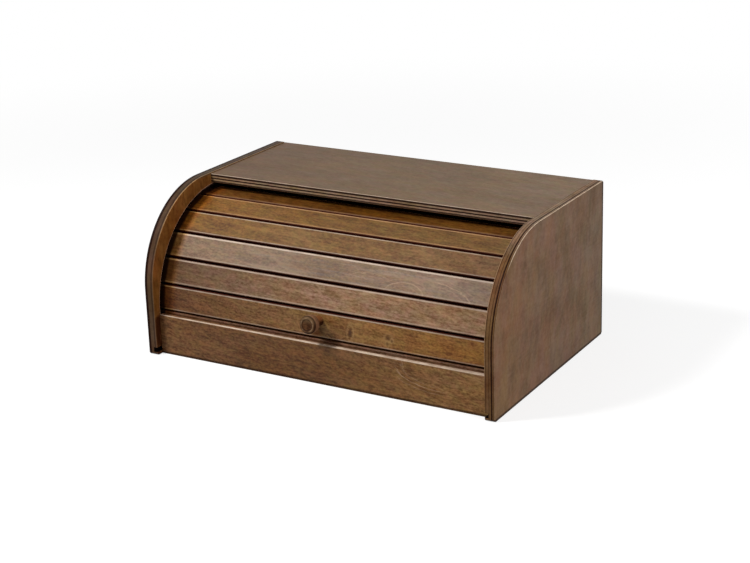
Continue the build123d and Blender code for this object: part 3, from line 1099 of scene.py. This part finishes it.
def canvasMaterial():
    look = canvasLook
    material, tree, shader, spot = startMaterial("wovenCanvas")
    parts = splitUp(tree, spot)
    # Length round the track, so that the weave follows the slats' backs
    rise = calc(tree, "SUBTRACT", parts[2], pivot.z)
    ahead = calc(tree, "SUBTRACT", pivot.y, parts[1])
    radius = (slatFrames["slat_4"]["middle"] - pivot).length
    around = multiply(tree, calc(tree, "ARCTAN2", rise, ahead), radius)
    slub = noiseAt(tree, spot, look["slubSize"], 4.0, 2.0)
    wave = math.pi / look["threadPitch"]
    waver = multiply(tree, slub, look["slubWaver"])
    warp, weft = (calc(tree, "SINE", calc(tree, "MULTIPLY_ADD", way, wave, waver))
                  for way in (parts[0], around))
    over = between(tree, multiply(tree, warp, weft), -0.25, 0.25)
    colour = mixColour(tree, over, screenColour(*look["weft"]), screenColour(*look["warp"]))
    slubs = between(tree, slub, 0.3, 0.8, 0.0, look["slubStrength"])
    colour = layTone(tree, slubs, colour, look["slubTone"])
    height = calc(tree, "ADD", calc(tree, "ABSOLUTE", warp), calc(tree, "ABSOLUTE", weft))
    roughness = between(tree, slub, 0.2, 0.8, *look["roughness"])
    finishSurface(tree, shader, colour, roughness, height, look["threadDepth"], 0.8)
    setUniform(shader, Sheen_Weight=look["sheen"], Specular_IOR_Level=look["gloss"])
    return material


def makeCanvas():
    path = canvasPath()
    halfWidth = slatFrames["slat_1"]["size"].x / 2 - canvasLook["sideMargin"]
    columns, rowsPerSlat = canvasLook["columns"], canvasLook["rowsPerSlat"]
    rows = [start.lerp(end, k / rowsPerSlat)
            for start, end in zip(path, path[1:]) for k in range(rowsPerSlat)]
    rows.append(path[-1])
    alongSize, rowSize = canvasLook["puckerSize"]
    work = bmesh.new()
    grid = []
    for row, point in enumerate(rows):
        inward = pivot - point
        inward.x = 0
        inward.normalize()
        line = []
        for column in range(columns + 1):
            x = halfWidth * (2 * column / columns - 1)
            lift = 0.5 + 0.5 * noise.noise(Vector((x * alongSize, row * rowSize, 2.0)))
            spot = Vector((x, point.y, point.z)) + inward * canvasLook["pucker"] * lift
            line.append(work.verts.new(spot))
        grid.append(line)
    for low, high in zip(grid, grid[1:]):
        for left, right, upRight, upLeft in zip(low, low[1:], high[1:], high):
            work.faces.new((left, right, upRight, upLeft))
    # Open round the screw head
    place = knobFrame()
    centre = place["middle"] - place["turn"].col[2] * slatFrames["slat_2"]["size"].z
    inside = [face for face in work.faces
              if (face.calc_center_median() - centre).length < canvasLook["holeRadius"]]
    bmesh.ops.delete(work, geom=inside, context="FACES")
    bmesh.ops.recalc_face_normals(work, faces=work.faces)
    canvas = meshObject("canvasBacking", work)
    canvas.data.materials.append(canvasMaterial())
    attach(canvas, "shutter")
    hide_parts("canvas_backing")


makeCanvas()


# Floor, light and camera

studio = {
    "floorRadius": 7.0,
    "floorSegments": 96,
    "floorGap": 0.0002,       # under the box, so that the two don't share a plane
    "floorColour": 0.42,
    "floorLift": 0.70,        # white seen by the camera over the floor's own colour
    "nearFade": 0.45,
    "farFade": 1.5,
    "ambient": 0.16,
    "lampTarget": (0, 0, 0.08),
    # name: direction, distance, size and power
    "lamps": {
        "keyLamp": ((-0.459, -0.484, 0.747), 1.5, 0.28, 17.0),
        "sideLamp": ((0.93, -0.12, 0.35), 1.6, 0.9, 14.0),
        "backLamp": ((0.55, 0.75, 0.35), 1.8, 0.9, 7.0),
    },
}


def seenDirectly(tree):
    # One for rays from the camera, from gloss and through glass
    rays = addNode(tree, "LightPath").outputs
    seen = calc(tree, "MAXIMUM", rays["Is Camera Ray"], rays["Is Glossy Ray"])
    return calc(tree, "MAXIMUM", seen, rays["Is Transmission Ray"])


def floorMaterial():
    material = bpy.data.materials.new("paleFloor")
    material.use_nodes = True
    tree = material.node_tree
    tree.nodes.clear()
    away = lengthOf(tree, coordinates(tree, "Object"))
    far = between(tree, away, studio["nearFade"], studio["farFade"])
    grey = studio["floorColour"]
    diffuse = addNode(tree, "BsdfDiffuse", {"Color": (grey, grey, grey, 1.0)}).outputs[0]
    seen = seenDirectly(tree)
    lift = multiply(tree, seen, studio["floorLift"])
    lift = addNode(tree, "Emission", {"Strength": lift}).outputs[0]
    white = addNode(tree, "Emission", {"Strength": seen}).outputs[0]
    near = addNode(tree, "AddShader", {0: diffuse, 1: lift}).outputs[0]
    both = addNode(tree, "MixShader", {0: far, 1: near, 2: white}).outputs[0]
    tree.links.new(both, addNode(tree, "OutputMaterial").inputs["Surface"])
    return material


def makeFloor():
    work = bmesh.new()
    bmesh.ops.create_circle(work, cap_ends=True, segments=studio["floorSegments"],
                            radius=studio["floorRadius"])
    floor = meshObject("studioFloor", work)
    floor.location.z = cadBounds[0][2] - studio["floorGap"]
    floor.data.materials.append(floorMaterial())


def makeWorld():
    world = bpy.data.worlds.new("paleStudio")
    bpy.context.scene.world = world
    world.use_nodes = True
    tree = world.node_tree
    tree.nodes.clear()
    soft, white = (addNode(tree, "Background", {"Color": (1, 1, 1, 1), "Strength": strength})
                   for strength in (studio["ambient"], 1.0))
    both = addNode(tree, "MixShader", {0: seenDirectly(tree), 1: soft.outputs[0],
                                       2: white.outputs[0]}).outputs[0]
    tree.links.new(both, addNode(tree, "OutputWorld").inputs["Surface"])


def addLamp(name, towards, distance, size, power):
    light = bpy.data.lights.new(name, "AREA")
    light.shape = "SQUARE"
    light.size = size
    light.energy = power
    lamp = addObject(name, light)
    direction = Vector(towards).normalized()
    lamp.location = Vector(studio["lampTarget"]) + direction * distance
    lamp.rotation_euler = direction.to_track_quat("Z", "Y").to_euler()


makeFloor()
makeWorld()
for name, values in studio["lamps"].items():
    addLamp(name, *values)
bpy.context.scene.view_settings.view_transform = "Standard"
print("studio ready")

viewpoint = {
    "frame": (750, 563),           # pixels of the photograph
    "focalLength": 1660.489,       # in pixels
    "middle": (432.134, 224.309),  # where the optical axis meets the frame
    "azimuth": 28.765,
    "elevation": 17.385,
    "roll": -1.21,
    "target": (0.066036, 0.0040275, 0.135856),
    "distance": 1.625988,
    "sensorWidth": 36.0,
    "nearLimit": 0.05,
}


def makeCamera():
    width, height = viewpoint["frame"]
    data = bpy.data.cameras.new("photoCamera")
    data.sensor_width = viewpoint["sensorWidth"]
    data.lens = viewpoint["focalLength"] / width * data.sensor_width
    data.shift_x = (width / 2 - viewpoint["middle"][0]) / width
    data.shift_y = (viewpoint["middle"][1] - height / 2) / width
    data.clip_start = viewpoint["nearLimit"]
    camera = addObject("photoCamera", data)
    azimuth, elevation, roll = (math.radians(viewpoint[key])
                                for key in ("azimuth", "elevation", "roll"))
    back = Vector((math.sin(azimuth) * math.cos(elevation),
                   -math.cos(azimuth) * math.cos(elevation), math.sin(elevation)))
    right = (-back).cross(zAxis).normalized()
    up = right.cross(-back)
    turnedRight = right * math.cos(roll) + up * math.sin(roll)
    turnedUp = up * math.cos(roll) - right * math.sin(roll)
    turn = Matrix((turnedRight, turnedUp, back)).transposed().to_4x4()
    spot = Vector(viewpoint["target"]) + back * viewpoint["distance"]
    camera.matrix_world = Matrix.Translation(spot) @ turn
    bpy.context.scene.camera = camera


makeCamera()
print("camera ready")
